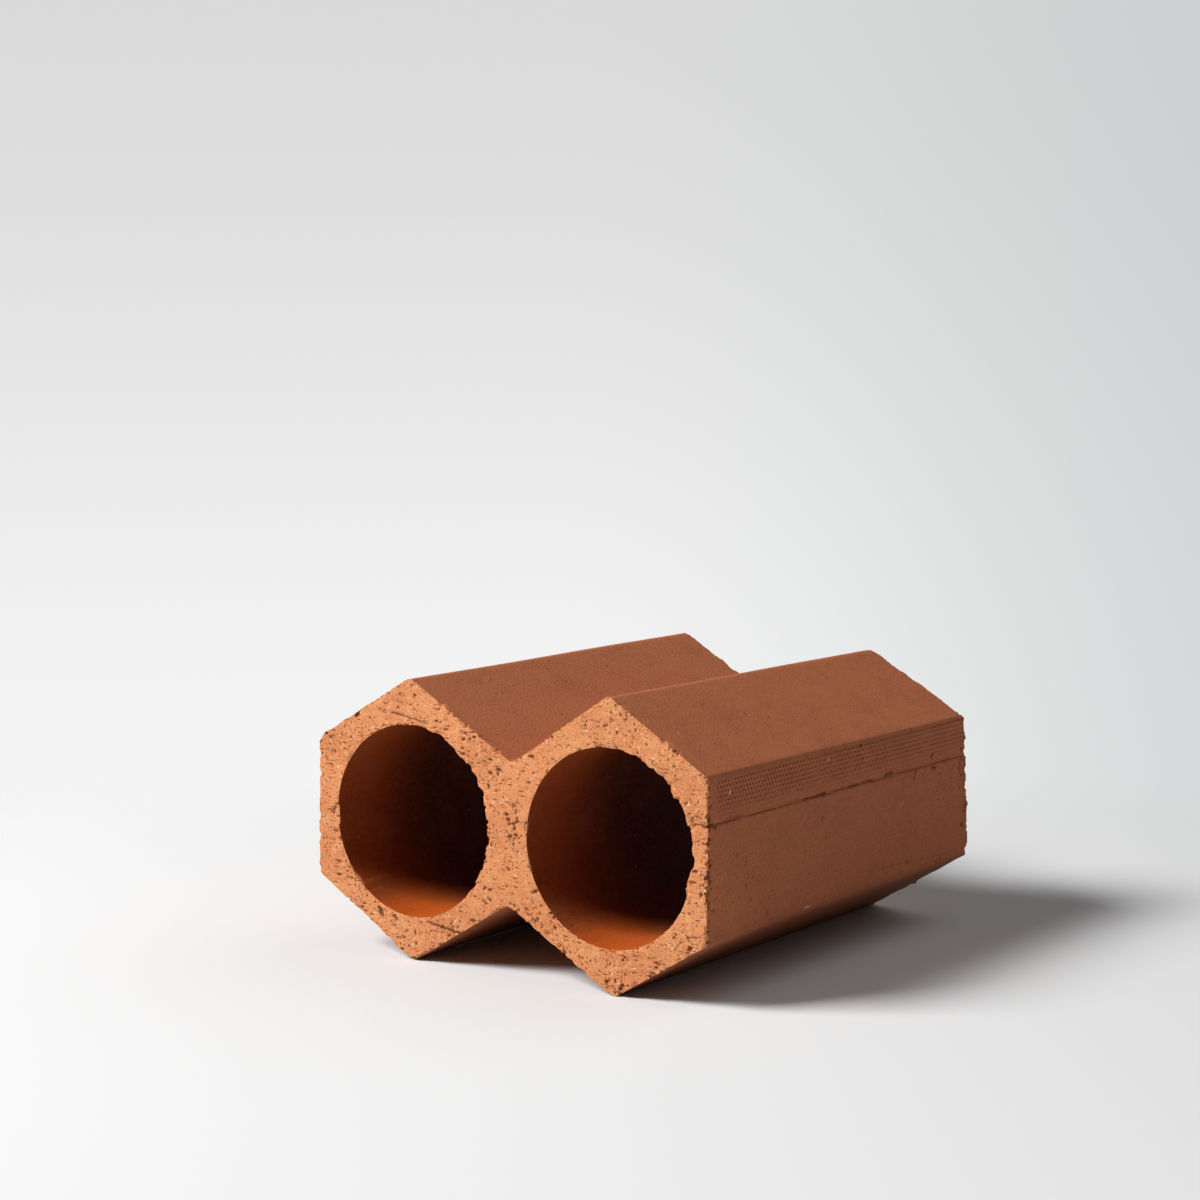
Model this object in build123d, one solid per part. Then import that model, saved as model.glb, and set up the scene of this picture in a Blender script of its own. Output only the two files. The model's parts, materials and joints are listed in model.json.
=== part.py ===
from build123d import *

import math
import os

# Twin-cell hexagonal clay screen block: one extruded and wire-cut piece of fired clay.
#
# Two hexagonal cells stand side by side, point up, and share a web. A round bore runs through
# each. The block stands on the two ridges under its cells, as it is laid in a screen wall.
#
# Frame, in millimetres: +X from the left cell to the right one, +Y along the bores from the
# front end to the back end, +Z up. The origin is the middle of the footprint, on the floor.

# Section of one cell
cell_width = 100.0  # across the upright flats
side_height = 60.0  # of an upright flat, between its sharp corners
slope_angle = 30.0  # of the upper and lower flats, in degrees from level
wall_thickness = 10.0  # at the upright flats, between the outside and the bore
ridge_radius = 4.0  # outer corners, rounded by the die
valley_radius = 4.0  # inner corners, where the two cells meet

# Length between the two wire-cut ends
block_length = 200.0

# Line that the clay dragged at the die, along the right-hand side
drag_line_drop = 16.0  # below the sharp upper corner of that side
drag_line_width = 1.2
drag_line_depth = 0.8

# Band above that line, pressed in by the belt that carried the wet clay
belt_band_sink = 0.4

# Half the cell each way, and the bore that the wall leaves in it
half_width = cell_width / 2
half_side = side_height / 2
half_height = half_side + half_width * math.tan(math.radians(slope_angle))
bore_radius = half_width - wall_thickness

# A rounded ridge ends short of the sharp corner, so the block sits that much lower
ridge_retreat = ridge_radius * (1 / math.cos(math.radians(slope_angle)) - 1)
cell_centre_z = half_height - ridge_retreat
cell_centres_x = (-half_width, half_width)
side_x = cell_width
drag_line_z = cell_centre_z + half_side - drag_line_drop

# Corners closer than this to a line of the section lie on it
on_line = 0.01


def cell(centre_x):
    """The sharp outline of one cell, with a corner up and a flat on either side."""
    hexagon = Polygon(
        (0, half_height),
        (-half_width, half_side),
        (-half_width, -half_side),
        (0, -half_height),
        (half_width, -half_side),
        (half_width, half_side),
        align=None,
    )
    return Pos(centre_x, cell_centre_z) * hexagon


def belt_band():
    """What the belt presses away, from the dragged line up past the corner of the side."""
    rise = drag_line_drop + half_height
    strip = Rectangle(belt_band_sink, rise, align=(Align.MAX, Align.MIN))
    return Pos(side_x, drag_line_z) * strip


def drag_groove():
    """The dragged line itself, a narrow V cut into the side."""
    reach = drag_line_width / 2
    return Polygon(
        (side_x, drag_line_z - reach),
        (side_x, drag_line_z + reach),
        (side_x - belt_band_sink, drag_line_z + reach),
        (side_x - drag_line_depth, drag_line_z),
        align=None,
    )


def is_valley(corner):
    """A corner on the plane between the two cells."""
    return abs(corner.X) < on_line


def is_ridge(corner):
    """A corner of the cells that is neither a valley nor the step beside the dragged line."""
    on_step = abs(corner.Y - drag_line_z) < on_line
    return not is_valley(corner) and not on_step


def outline():
    """Both cells in one outline, with rounded ridges and valleys and the dragged line."""
    left_x, right_x = cell_centres_x
    cells = cell(left_x) + cell(right_x) - belt_band()
    cells = fillet(cells.vertices().filter_by(is_ridge), ridge_radius)
    cells = fillet(cells.vertices().filter_by(is_valley), valley_radius)
    return cells - drag_groove()


def screen_block():
    """The whole block: the outline less its bores, drawn out both ways from the middle."""
    section = outline()
    for centre_x in cell_centres_x:
        section -= Pos(centre_x, cell_centre_z) * Circle(bore_radius)
    return extrude(Plane.XZ * section, amount=block_length / 2, both=True)


block = screen_block()
block.label = "screen_block"

os.makedirs("parts", exist_ok=True)
export_step(block, "parts/screen_block.step")
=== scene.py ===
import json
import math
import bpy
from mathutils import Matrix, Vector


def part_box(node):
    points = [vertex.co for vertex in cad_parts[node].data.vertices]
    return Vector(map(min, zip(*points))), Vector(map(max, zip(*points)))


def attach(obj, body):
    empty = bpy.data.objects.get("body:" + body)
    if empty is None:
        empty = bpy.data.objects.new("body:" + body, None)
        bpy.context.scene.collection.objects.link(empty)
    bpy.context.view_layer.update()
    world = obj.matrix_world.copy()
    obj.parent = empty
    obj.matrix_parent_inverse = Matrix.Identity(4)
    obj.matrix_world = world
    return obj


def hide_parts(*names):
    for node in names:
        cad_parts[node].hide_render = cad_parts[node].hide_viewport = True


bl_info = {
    "name": "Clay screen block",
    "version": (1, 0, 0),
    "blender": (4, 5, 0),
    "location": "View3D > Sidebar > Screen block",
    "description": "Gives the twin-cell clay screen block its fired finish and sets the studio up around it",
    "category": "Object",
}

import bpy
import numpy as np
from mathutils import Matrix, Vector

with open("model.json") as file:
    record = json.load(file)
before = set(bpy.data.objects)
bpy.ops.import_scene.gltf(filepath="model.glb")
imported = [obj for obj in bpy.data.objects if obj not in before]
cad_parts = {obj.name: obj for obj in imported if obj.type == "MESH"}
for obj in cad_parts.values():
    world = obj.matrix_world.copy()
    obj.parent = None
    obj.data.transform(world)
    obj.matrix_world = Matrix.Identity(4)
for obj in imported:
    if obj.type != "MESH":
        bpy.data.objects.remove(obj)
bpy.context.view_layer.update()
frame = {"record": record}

MM = 0.001
NODE = "screen_block"

# What the frame says of the block: its box, and the bore that both cells share
low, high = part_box(NODE)
mounts = {mount["name"]: mount for mount in frame["record"]["mounts"]}
block_length = high.y - low.y
cell_width = (high.x - low.x) / 2
cell_centre_z = mounts["right_cell"]["pos_m"][2]
bore_radius = mounts["right_cell"]["dims"]["r_mm"] * MM
half_length = block_length / 2
half_width = cell_width / 2

FRONT, BACK = -1, 1
LEFT, RIGHT = -1, 1
FACE_END, FACE_SIDE, FACE_BORE = 0, 1, 2

# Points of one cell's section: round its outside, down the web, and from the bore to the outside
OUTER_POINTS = 640
WEB_POINTS = 132
WALL_RINGS = 34

# Steps along the block, in mm: the one at an end, how much each next one grows, and the widest
# outside, where the belt and the die left marks, and in the bores
FIRST_STEP = 0.25
STEP_GROWTH = 1.13
SIDE_STEP = 1.5
MARKED_STEP = 0.45
BORE_STEP = 4

# The marked part of the section, from corner to corner: the right-hand side, and nearly to the peak
MARKED_CORNERS = (2, 3.95)

# Edges sharper than this between two triangles, in degrees, stay sharp
SHARP_EDGE = 48

# How far from an edge, in mm, these fade out: what is done to a face, the bulges of the front rims,
# the ragged lip at the back, and the lift of the foot off the floor
FACE_REACH = 3
RIM_REACH = 6
LIP_REACH = 2.5
FOOT_REACH = 6

# A bite turns from the end's face to the wall within this distance of the edge, in mm
BITE_TURN = 1.2

# Waves: which noise, its lumps along x, y and z in mm, and its height in mm. On the wire-cut ends the
# height is in shares of their roughness instead, and what varies along the block has no unit. A lump
# of a whole metre leaves the noise even that way.
EVEN = 1000
END_WAVES = (
    (0, (26, EVEN, 17), 1.6),
    (1, (2.6, EVEN, 2.2), 0.8),
    (2, (1.1, EVEN, 0.9), 0.9),
    (3, (7, EVEN, 0.9), 0.9),
)
SIDE_WAVES = (
    (4, (45, 70, 45), 0.22),
    (5, (2.4, 60, 2.4), 0.035),
    (2, (1.7, 2.2, 1.7), 0.035),
)
BORE_WAVES = (
    (3, (30, 60, 30), 0.12),
    (5, (1.8, 50, 1.8), 0.03),
)
LIP_WAVES = ((1, (3.2, EVEN, 3.2), 0.5),)
LINE_WAVES = (
    (0, (EVEN, 9, EVEN), 0.3),
    (1, (EVEN, 1.6, EVEN), 0.12),
)
ALONG_WAVES = ((4, (EVEN, 3.5, EVEN), 1),)

# Tears of the front end: from x, z to x, z, with width and depth, in mm
FRONT_TEARS = (
    ((90.5, 72.3), (95, 72.5), 0.4, 0.6),
    ((94.5, 72.2), (99.5, 71.8), 0.5, 0.8),
    ((-59, 102.7), (-48, 101), 0.5, 0.7),
    ((-49, 101.2), (-40.5, 99.5), 0.4, 0.6),
    ((-41.6, 17.3), (-33, 15.4), 0.6, 0.8),
    ((-34, 16), (-25, 14.6), 0.5, 0.7),
)

# Crumbling places of the front end: x, z, spread across and up, in mm, and how many pits
FRONT_CRUMBS = (
    (97.5, 50, 1.2, 14, 12),
    (95, 47, 2, 3, 8),
    (53, 4, 4, 2, 24),
    (86, 26, 5, 4, 30),
    (-92, 58, 1.2, 3, 16),
    (-30, 16, 5, 3, 24),
    (17, 27, 4, 3, 26),
    (3, 62, 2, 7, 24),
    (-52, 7, 3, 2, 12),
)

# Tears and nicks of the right-hand side: from y, z to y, z, with width and depth, in mm
SIDE_TEARS = (
    ((-100, 72.3), (-96.5, 72.7), 0.9, 0.9),
    ((-96, 71.5), (-95, 71.3), 1.1, 0.8),
    ((-33, 72.3), (-29, 72.4), 0.8, 0.7),
    ((-27, 72.1), (-22, 72.3), 0.8, 0.6),
    ((-21.5, 72.4), (-15.5, 72.5), 0.9, 0.8),
    ((2, 72.4), (10, 72.6), 0.8, 0.7),
    ((13, 72.6), (21, 72.5), 0.8, 0.7),
    ((32, 73.0), (38, 73.4), 0.9, 0.7),
    ((33, 74.6), (34.2, 74.7), 0.6, 0.5),
    ((57, 72.1), (60, 72.1), 0.8, 0.6),
    ((71.5, 76.5), (70, 75.2), 1.0, 0.7),
    ((70.5, 70.6), (73.5, 70.4), 1.1, 0.8),
    ((56, 71.2), (55, 68.4), 0.9, 0.8),
    ((48, 33.2), (49.5, 33.2), 0.9, 0.6),
    ((10, 35.1), (98, 30.9), 0.5, 0.25),
)

# Crumbling places of the right-hand side: y, z, spread along and up, in mm, and how many pits
SIDE_CRUMBS = (
    (-99, 50, 0.9, 10, 60),
    (-99, 80, 0.7, 6, 16),
    (-98, 38, 1.5, 5, 16),
    (97, 50, 1.2, 14, 30),
)

# Ring that a grain left as it fell out near the back: y, z and half its size each way, in mm
RING = (96.1, 67.6, 2.7, 3.6)

# Pale grains bared in the right-hand side's skin: y, z and half their size along and up, in mm
SIDE_GRAINS = (
    (-84.9, 83.5, 0.6, 1.5),
    (-13.3, 86, 0.9, 0.6),
    (-29.5, 28.2, 0.9, 0.7),
    (44, 58.9, 0.7, 0.7),
)

# Bulges of the bores' front rims: side, turn and half-turn in degrees, and rise in mm
RIM_BULGES = (
    (RIGHT, -12, 9, 1.4),
    (RIGHT, 38, 4, 0.9),
    (RIGHT, 62, 5, 0.5),
    (LEFT, 182, 8, 0.8),
    (LEFT, 50, 4, 0.7),
)

# Burrs that the wire left on the back end's edge, on the right: x, z, half-length and rise in mm
BACK_BURRS = (
    (73, 13.5, 2.2, 1.5),
    (68, 11, 1.2, 0.7),
    (61, 7.5, 1.6, 1.0),
    (84, 20.5, 1.4, 0.6),
    (99, 51, 1.8, 0.9),
    (99, 38, 1.2, 0.7),
    (99, 80, 1.5, 0.8),
)

# Between these places along the block, in mm, the left foot is furthest off the floor
FOOT_GAP = (-76, -30)

# Between these places along the block, in mm, the dots of the weave run together into lines
WEAVE_TO_LINES = (25, 60)

# The weave starts between these distances from the front end, in mm
WEAVE_FROM_END = (3, 8)

# The weave sets in between these rows above the dragged line
WEAVE_FROM_LINE = (0, 4)

# Rims of the weave's dots and lines: where they start and where they are full, in pitches from the
# middle. A dot is slimmer along the block than up it, by its pitches
DOT_RIM = (0.45, 0.2)
LINE_RIM = (0.35, 0.1)
DOT_SLIMNESS = 1.5

# Depth of the short tears of an end, and how far the pits of a cluster stray, in mm
TEAR_DEPTH = 0.45
CLUSTER_SPREAD = 1.6

# The marks of the right-hand side lie between these heights, in mm
SIDE_HEIGHTS = (20, 96)


# Properties


def linear(code):
    """An sRGB hex colour as linear red, green and blue."""
    parts = [int(code[at : at + 2], 16) / 255 for at in (1, 3, 5)]
    return tuple(part / 12.92 if part <= 0.04045 else ((part + 0.055) / 1.055) ** 2.4 for part in parts)


def colour(name, code, description):
    return bpy.props.FloatVectorProperty(
        name=name, description=description, subtype="COLOR", size=3, min=0, max=1, default=linear(code)
    )


def length(name, millimetres, description):
    return bpy.props.FloatProperty(
        name=name, description=description, unit="LENGTH", min=0, default=millimetres * MM
    )


def position(name, millimetres, description):
    default = [part * MM for part in millimetres]
    return bpy.props.FloatVectorProperty(
        name=name, description=description, unit="LENGTH", subtype="XYZ", size=3, default=default
    )


def number(name, value, description):
    return bpy.props.IntProperty(name=name, description=description, min=0, default=value)


def angle(name, degrees, description):
    return bpy.props.FloatProperty(
        name=name, description=description, subtype="ANGLE", default=math.radians(degrees)
    )


def share(name, value, description):
    return bpy.props.FloatProperty(
        name=name, description=description, subtype="FACTOR", min=0, max=1, default=value
    )


class ClaySizes(bpy.types.PropertyGroup):
    """Section, wire-cut ends, edges and belt marks of the block"""

    slope: angle("Slope", 30, "Rise of the upper and lower flats from level")
    corner_radius: length("Corner radius", 4, "Rounding of the ridges and the valleys")
    grain: length("Grain", 0.2, "Step of the maps that small marks are pressed into")

    pits: number("Pits", 1150, "Marks left by grains that the wire tore out, over one end's box")
    pit_radius: length("Pit radius", 0.28, "Usual radius of such a pit")
    clusters: number("Clusters", 90, "Places where the pits gather, over one end's box")
    tears: number("Tears", 420, "Short tears along the wire's way, over one end's box")
    tear_length: length("Tear length", 2.2, "Usual length of a tear")
    tear_width: length("Tear width", 0.26, "Width of a tear")
    flecks: number("Flecks", 170, "Small pits of the right-hand side")
    wire_slope: angle("Wire slope", -6, "Rise of the wire's way across an end, from left to right")
    end_roughness: length("End roughness", 0.13, "Height of the wire-cut grain")

    edge_reach: length("Edge reach", 4, "How far bites reach from an edge")
    bite_length: length("Bite length", 1.5, "Half the usual length of a bite")
    bite_depth: length("Bite depth", 0.55, "Usual depth of a bite out of an edge")

    belt_drop: length("Belt line drop", 16, "The dragged line lies this far below the side's upper corner")
    belt_sink: length("Belt sink", 0.4, "How far the belt pressed the band above the dragged line in")
    line_width: length("Dragged line width", 1.2, "Width of the dragged line")
    line_depth: length("Dragged line depth", 0.8, "Depth of the dragged line")
    weave_start: length("Weave start", 1.1, "Height of the belt weave's first row above the dragged line")
    weave_along: length("Weave along", 2.15, "Pitch of the belt's weave along the block")
    weave_up: length("Weave up", 1.87, "Pitch of the rows of the belt's weave")
    weave_depth: length("Weave depth", 0.12, "Depth of the belt's weave")

    foot_gap: length("Foot gap", 0.8, "Lift of the left foot between the places that it bears on")

    triangles: number("Triangles", 192000, "Triangles that the block's mesh is brought down to")


class ClayColours(bpy.types.PropertyGroup):
    """Colours of the fired clay"""

    cut: colour("Wire-cut clay", "#EA9D68", "Torn body that the wire leaves at the ends")
    cut_warm: colour("Warm cut clay", "#F5B077", "Brighter clouds in the wire-cut body")
    cut_deep: colour("Deep cut clay", "#D28255", "Deeper clouds in the wire-cut body")
    grog: colour("Grog", "#F6CCA0", "Pale grains of ground fired clay")
    slate: colour("Slate", "#8D8480", "Few grey grains")
    pit: colour("Pit", "#4A1F12", "Shadowed bottom of pits and tears")
    skin: colour("Die skin", "#B06540", "Smooth skin of the flats, closed by the die")
    # Painted shade of the underside, which darkens the skin towards the lower ridges
    painted_underside_shade: colour("Underside skin", "#6E3F2C", "Skin near the ridges that it stood on in the kiln")
    skin_red: colour("Red skin", "#A85A3E", "Redder clouds in the skin")
    skin_brown: colour("Brown skin", "#96593A", "Browner clouds in the skin")
    # Painted light and shade of the bores: the deep skin is painted shade further inside, and the floor
    # colour is a painted pool of light near their ends
    bore: colour("Bore skin", "#8A3A0A", "Skin of the bores near their ends")
    painted_deep_bore_shade: colour("Deep bore skin", "#521E08", "Skin further inside, which fired darker")
    painted_bore_floor_light: colour("Bore dust", "#B85008", "Clay dust on the floor of the bores, near their ends")


class StudioSettings(bpy.types.PropertyGroup):
    """Camera, softbox, room and paper floor"""

    camera_place: position("Camera place", (667.5, -946.9, 271.4), "Front right, a little above the block")
    camera_turn: angle("Camera turn", 36.23, "From along the bores round to the left")
    camera_dip: angle("Camera dip", 6.28, "How far the camera looks down")
    camera_roll: angle("Camera roll", -0.31, "Turn of the camera about its line of sight")
    lens: bpy.props.FloatProperty(
        name="Lens", description="Focal length of the camera", unit="CAMERA", default=81.93
    )
    softbox_size: length("Softbox size", 1200, "Side of the square softbox")
    softbox_distance: length("Softbox distance", 3000, "From the block to the softbox")
    softbox_turn: angle("Softbox turn", 41, "From straight in front of the block round to the left")
    softbox_rise: angle("Softbox rise", 43, "Height of the softbox above the horizon")
    softbox_power: bpy.props.FloatProperty(
        name="Softbox power", description="Light of the softbox", unit="POWER", default=120
    )
    fill_turn: angle("Fill turn", 146, "From straight in front of the block round to the right")
    fill_rise: angle("Fill rise", 48, "Height of the fill's middle above the horizon")
    fill: share("Fill", 0.85, "Light of the bright part of the room, behind and above on the right")
    gloom: share("Gloom", 0.05, "Light of the rest of the room")
    paper: colour("Paper", "#E6E6E6", "Floor under the block")
    paper_reach: length("Paper reach", 6000, "From the middle of the paper to its edges")
    paper_middle: position("Paper middle", (50, -120, 0), "Middle of the floor that a camera sees")
    paper_fade: length("Paper fade", 300, "From there the paper starts to be lost in the room")
    paper_end: length("Paper end", 600, "From there no camera sees the paper")
    wall_bright: colour("Bright wall", "#F5F5F5", "Room near the floor")
    wall_dim: colour("Dim wall", "#DADADA", "Room above the block")
    wall_cool: colour("Cool wall", "#C6CBCB", "Room on the side away from the softbox")
    cool_turn: angle("Cool turn", 126.2, "From straight in front of the block round to the right")


# Noise and pressed marks


def smooth(value, start, end):
    """0 up to start, 1 from end on, and a soft step between them."""
    step = np.clip((value - start) / (end - start), 0, 1)
    return step * step * (3 - 2 * step)


def fade(distance, reach):
    """1 at an edge, and nothing from reach on, which is in millimetres."""
    return np.clip(1 - distance / (reach * MM), 0, 1) ** 2


def unit(ways):
    """Ways across and up, each brought to a length of 1."""
    return ways / np.hypot(*ways.T)[..., None]


class Clouds:
    """Smooth noise from -1 to 1 in space, from one seeded table."""

    # Lumps along each side of the table, after which it repeats
    side = 61

    def __init__(self, seed):
        self.table = np.random.default_rng(seed).uniform(-1, 1, (self.side,) * 3).astype(np.float32)

    def at(self, points, lumps):
        """The noise at each point, with lumps of that many millimetres along x, y and z."""
        place = points / (np.array(lumps) * MM) + 0.5 * self.side
        corner = np.floor(place).astype(int)
        part = place - corner
        part = part * part * (3 - 2 * part)
        total = 0
        for far in np.ndindex(2, 2, 2):
            weight = np.where(far, part, 1 - part).prod(axis=1)
            x, y, z = ((corner + far) % self.side).T
            total = total + weight * self.table[x, y, z]
        return total


class Marks:
    """A map of small marks pressed into a face: how far the clay is gone at u, v."""

    # Sides of the table that makes rims ragged. They share no factor, so it repeats late
    rough_sides = (97, 89)
    roughness = 0.45

    # A ragged rim strays out to this many times the mark's own size
    rim_reach = 1.3

    def __init__(self, start, end, step, seed, wraps=False):
        self.start = np.array(start, float)
        self.step = step
        self.wraps = wraps
        self.random = np.random.default_rng(seed)
        shape = np.ceil((np.array(end) - self.start) / step).astype(int) + 1
        self.depth = np.zeros(shape, np.float32)
        self.rough = self.random.uniform(-1, 1, self.rough_sides).astype(np.float32)

    def press(self, u, v, half_u, half_v, depth, turn=0.0, hollow=0.5):
        """Presses one oval mark with a ragged rim. A small hollow gives it steep walls."""
        rows, columns = self.depth.shape
        centre = (np.array([u, v]) - self.start) / self.step
        count = int(self.rim_reach * max(half_u, half_v) / self.step) + 1
        i, j = (np.arange(int(middle) - count, int(middle) + count + 2) for middle in centre)
        j = j[(j >= 0) & (j < columns)]
        if not self.wraps:
            i = i[(i >= 0) & (i < rows)]
        if not len(i) or not len(j):
            return
        du = ((i - centre[0]) * self.step)[:, None]
        dv = ((j - centre[1]) * self.step)[None, :]
        along = du * math.cos(turn) + dv * math.sin(turn)
        across = dv * math.cos(turn) - du * math.sin(turn)
        rim = (along / half_u) ** 2 + (across / half_v) ** 2
        rough_rows, rough_columns = self.rough_sides
        rim = rim * (1 + self.roughness * self.rough[np.ix_(i % rough_rows, j % rough_columns)])
        mark = depth * np.clip(1 - rim, 0, 1) ** hollow
        cells = np.ix_(i % rows, j)
        self.depth[cells] = np.maximum(self.depth[cells], mark)

    def scratch(self, start, end, half_width, depth):
        """A torn line from start to end, in short overlapping strokes that stray a little."""
        start, end = np.array(start), np.array(end)
        run = end - start
        size = np.hypot(*run)
        turn = math.atan2(run[1], run[0])
        for at in np.arange(0, size, 1.5 * half_width):
            u, v = start + run * at / size + self.random.normal(0, 0.35 * half_width, 2)
            width = half_width * self.random.uniform(0.7, 1.2)
            self.press(u, v, 2.2 * width, width, depth * self.random.uniform(0.7, 1), turn)

    def gather(self, place, spread, count, radius):
        """Presses pits about a place, closer together towards its middle."""
        for _ in range(count):
            u, v = self.random.normal(place, spread)
            size = radius * self.random.lognormal(0, 0.4)
            long_half = size * self.random.uniform(1, 1.6)
            self.press(u, v, long_half, size, 1.4 * size, self.random.normal(0, 0.6))

    def place(self, tears, crumbs, pit_radius):
        """Makes the tears and crumbling places that are given in millimetres."""
        for start, end, width, depth in tears:
            self.scratch(np.array(start) * MM, np.array(end) * MM, width * MM / 2, depth * MM)
        for u, v, spread_u, spread_v, count in crumbs:
            spread = np.array((spread_u, spread_v)) * MM
            self.gather(np.array((u, v)) * MM, spread, count, 1.2 * pit_radius)

    def at(self, u, v):
        """Depth at each u, v, between the map's steps too."""
        rows, columns = self.depth.shape
        place_u = (u - self.start[0]) / self.step
        place_v = np.clip((v - self.start[1]) / self.step, 0, columns - 1.001)
        if not self.wraps:
            place_u = np.clip(place_u, 0, rows - 1.001)
        i, j = np.floor(place_u).astype(int), np.floor(place_v).astype(int)
        p, q = place_u - i, place_v - j
        near, far = i % rows, (i + 1) % rows
        return (
            (1 - p) * (1 - q) * self.depth[near, j]
            + p * (1 - q) * self.depth[far, j]
            + (1 - p) * q * self.depth[near, j + 1]
            + p * q * self.depth[far, j + 1]
        )


def end_marks(sizes, seed, tears, crumbs):
    """Pits, tears and lost crumbs of one wire-cut end, across and up."""
    margin = 4 * MM
    start = (low.x - margin, -margin)
    end = (high.x + margin, high.z + margin)
    marks = Marks(start, end, sizes.grain, seed)
    random = marks.random
    for _ in range(sizes.pits):
        u, v = random.uniform(start, end)
        radius = sizes.pit_radius * random.lognormal(-0.1, 0.5)
        stretch = random.uniform(1.1, 2.8)
        depth = radius * random.uniform(0.9, 1.6)
        marks.press(u, v, radius * stretch, radius, depth, random.normal(sizes.wire_slope, 0.5))
    for _ in range(sizes.tears):
        u, v = random.uniform(start, end)
        turn = random.normal(sizes.wire_slope, 0.12)
        size = sizes.tear_length * random.uniform(0.4, 1.3)
        run = size * np.array([math.cos(turn), math.sin(turn)])
        half_across = sizes.tear_width / 2 * random.uniform(0.8, 1.4)
        marks.scratch((u, v), (u, v) + run, half_across, TEAR_DEPTH * MM)
    for _ in range(sizes.clusters):
        middle = random.uniform(start, end)
        marks.gather(middle, CLUSTER_SPREAD * MM, random.integers(5, 14), sizes.pit_radius)
    marks.place(tears, crumbs, sizes.pit_radius)
    return marks


def side_marks(sizes):
    """Tears, flecks and crumbling places of the right-hand side, along and up."""
    bottom, top = SIDE_HEIGHTS
    start, end = (-half_length, bottom * MM), (half_length, top * MM)
    marks = Marks(start, end, sizes.grain, seed=31)
    marks.place(SIDE_TEARS, SIDE_CRUMBS, sizes.pit_radius)
    random = marks.random
    for _ in range(sizes.flecks):
        u, v = random.uniform(start, end)
        size = sizes.pit_radius * random.lognormal(-0.1, 0.4)
        marks.press(u, v, size, size * random.uniform(1.2, 3.2), size, random.normal(0, 0.3))
    ring_y, ring_z, half_y, half_z = (part * MM for part in RING)
    for turn in np.linspace(0, 2 * math.pi, 40):
        wide = random.normal(1, 0.07)
        u, v = ring_y + wide * half_y * math.cos(turn), ring_z + wide * half_z * math.sin(turn)
        marks.press(u, v, 0.5 * MM, 0.5 * MM, 0.35 * MM)
    return marks


def edge_marks(sizes, loop, seed, strength):
    """Bites along one edge: u runs along it, v from the end face, below 0, on to the wall."""
    reach = sizes.edge_reach
    marks = Marks((0, -reach), (loop, reach), sizes.grain, seed, wraps=True)
    # The map closes on itself only if its length is a whole number of steps
    marks.step = loop / marks.depth.shape[0]
    marks.start[1] = -marks.step * marks.depth.shape[1] / 2
    random = marks.random
    for _ in range(int(loop / (1.7 * sizes.bite_length))):
        u = random.uniform(0, loop)
        power = strength(u)
        depth = sizes.bite_depth * random.lognormal(-0.2, 0.5) * power
        half = sizes.bite_length * random.lognormal(-0.25, 0.65) * (0.6 + 0.4 * power)
        v = random.normal(0, 0.25 * MM)
        half_v = depth * random.uniform(0.9, 1.5) + 0.2 * MM
        marks.press(u, v, half, half_v, depth, random.normal(0, 0.1), 0.6)
    return marks


def edge_strength(at_end, at_side, on_bore):
    """How strongly an edge is bitten along its run: more where the wire left the clay."""
    if on_bore:
        leaving = math.radians(40)
        return lambda run: 0.5 + 0.9 * max(0.0, math.cos(run / bore_radius - leaving)) ** 1.5
    level = {(FRONT, RIGHT): 0.7, (FRONT, LEFT): 0.9}.get((at_end, at_side), 0.85)
    return lambda run: level


# Section and points of the skin


def half_sizes(sizes):
    """Half the height of a cell, and half that of its upright side, between their sharp corners."""
    half_height = cell_centre_z + sizes.corner_radius * (1 / math.cos(sizes.slope) - 1)
    return half_height, half_height - half_width * math.tan(sizes.slope)


def belt_line_z(sizes):
    """Height of the dragged line, below the sharp upper corner of the side."""
    return cell_centre_z + half_sizes(sizes)[1] - sizes.belt_drop


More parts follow.
